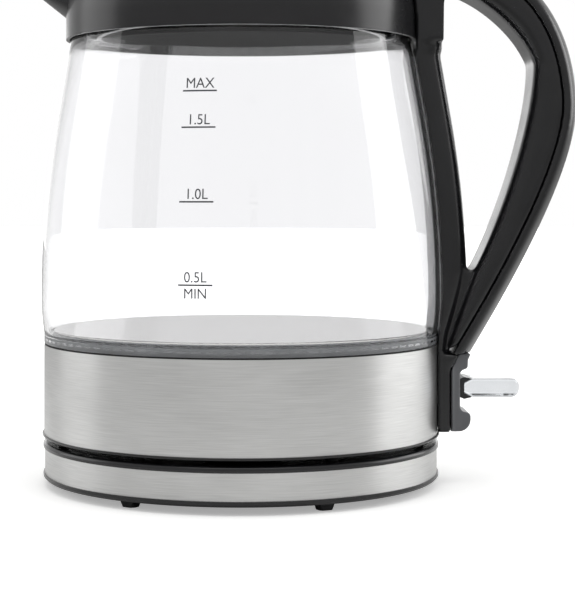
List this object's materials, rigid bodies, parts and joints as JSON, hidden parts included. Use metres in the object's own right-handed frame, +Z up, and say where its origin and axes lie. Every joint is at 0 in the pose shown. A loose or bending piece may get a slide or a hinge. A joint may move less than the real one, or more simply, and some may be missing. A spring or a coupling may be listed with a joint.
{
  "type": "electric kettle",
  "caption": "Cordless glass jug kettle with a steel band and a V-shaped handle, on a round power base with a central connector.",
  "frame": {"origin": "where the connector's vertical axis meets the surface that the power base's feet stand on", "axes": "+Z up, +X from the connector's axis towards the handle, -X towards the spout, +Y towards the cord's inlet"},
  "size_m": [0.2198, 0.1588, 0.2162],
  "materials": {
    "black_plastic": "moulded, satin",
    "dark_plastic": "moulded, satin",
    "inner_plastic": "moulded, matt",
    "brushed_steel": "brushed round",
    "polished_steel": "bright",
    "zinc_steel": "zinc plated",
    "brass": "satin",
    "aluminium": "rolled",
    "rubber": "moulded",
    "silicone": "moulded",
    "glass": "clear",
    "clear_acrylic": "clear"
  },
  "bodies": {
    "base": {"base_tray": "black_plastic", "base_feet": "rubber", "base_trim_ring": "brushed_steel", "base_cover": "black_plastic", "base_screws": "zinc_steel", "connector_housing": "black_plastic", "contact_ring_outer": "brass", "contact_ring_inner": "brass", "cord_gland": "rubber", "cord_clamp": "inner_plastic"},
    "sleeve": {"earth_sleeve": "polished_steel"},
    "jug": {"jug_bottom": "black_plastic", "jug_feet": "rubber", "jug_screws": "zinc_steel", "steel_band": "brushed_steel", "clamp_ring": "inner_plastic", "plate_seal": "silicone", "glass_gasket": "rubber", "boiling_plate": "polished_steel", "heat_spreader": "aluminium", "heating_element": "aluminium", "coupler_socket": "inner_plastic", "coupler_ring_outer": "brass", "coupler_ring_inner": "brass", "coupler_earth_pin": "brass", "thermostat_control": "inner_plastic", "bimetal_discs": "brass", "glass_jug": "glass", "handle_frame": "black_plastic", "handle_cover": "black_plastic", "handle_screws": "zinc_steel", "steam_tube": "silicone", "switch_housing": "dark_plastic", "lever_pin": "polished_steel", "top_collar": "black_plastic", "collar_seal": "silicone", "spout_filter_frame": "black_plastic", "filter_mesh": "polished_steel", "lid_hinge_pin": "polished_steel", "button_spring": "zinc_steel"},
    "switch": {"switch_lever": "black_plastic", "switch_paddle": "clear_acrylic"},
    "lid": {"lid_cover": "black_plastic", "lid_liner": "polished_steel", "lid_seal": "silicone"},
    "button": {"lid_button": "dark_plastic"}
  },
  "joints": [
    {"name": "jug_swivel", "type": "hinge", "parent": "base", "child": "sleeve", "pos_m": [0, 0, 0], "axis": [0, 0, 1], "continuous": true},
    {"name": "jug_lift", "type": "slide", "parent": "sleeve", "child": "jug", "axis": [0, 0, 1], "range_m": [0, 0.0404]},
    {"name": "lid_open", "type": "hinge", "parent": "jug", "child": "lid", "pos_m": [0.055, 0, 0.2033], "axis": [0, 1, 0], "range_deg": [0, 80]},
    {"name": "switch_press", "type": "hinge", "parent": "jug", "child": "switch", "pos_m": [0.0851, 0, 0.0378], "axis": [0, 1, 0], "range_deg": [0, 14]},
    {"name": "lid_button_press", "type": "slide", "parent": "jug", "child": "button", "axis": [0, 0, -1], "range_m": [0, 0.0025], "stiffness_N_per_m": 400, "springref_m": -0.002, "deforming": ["button_spring"]}
  ]
}
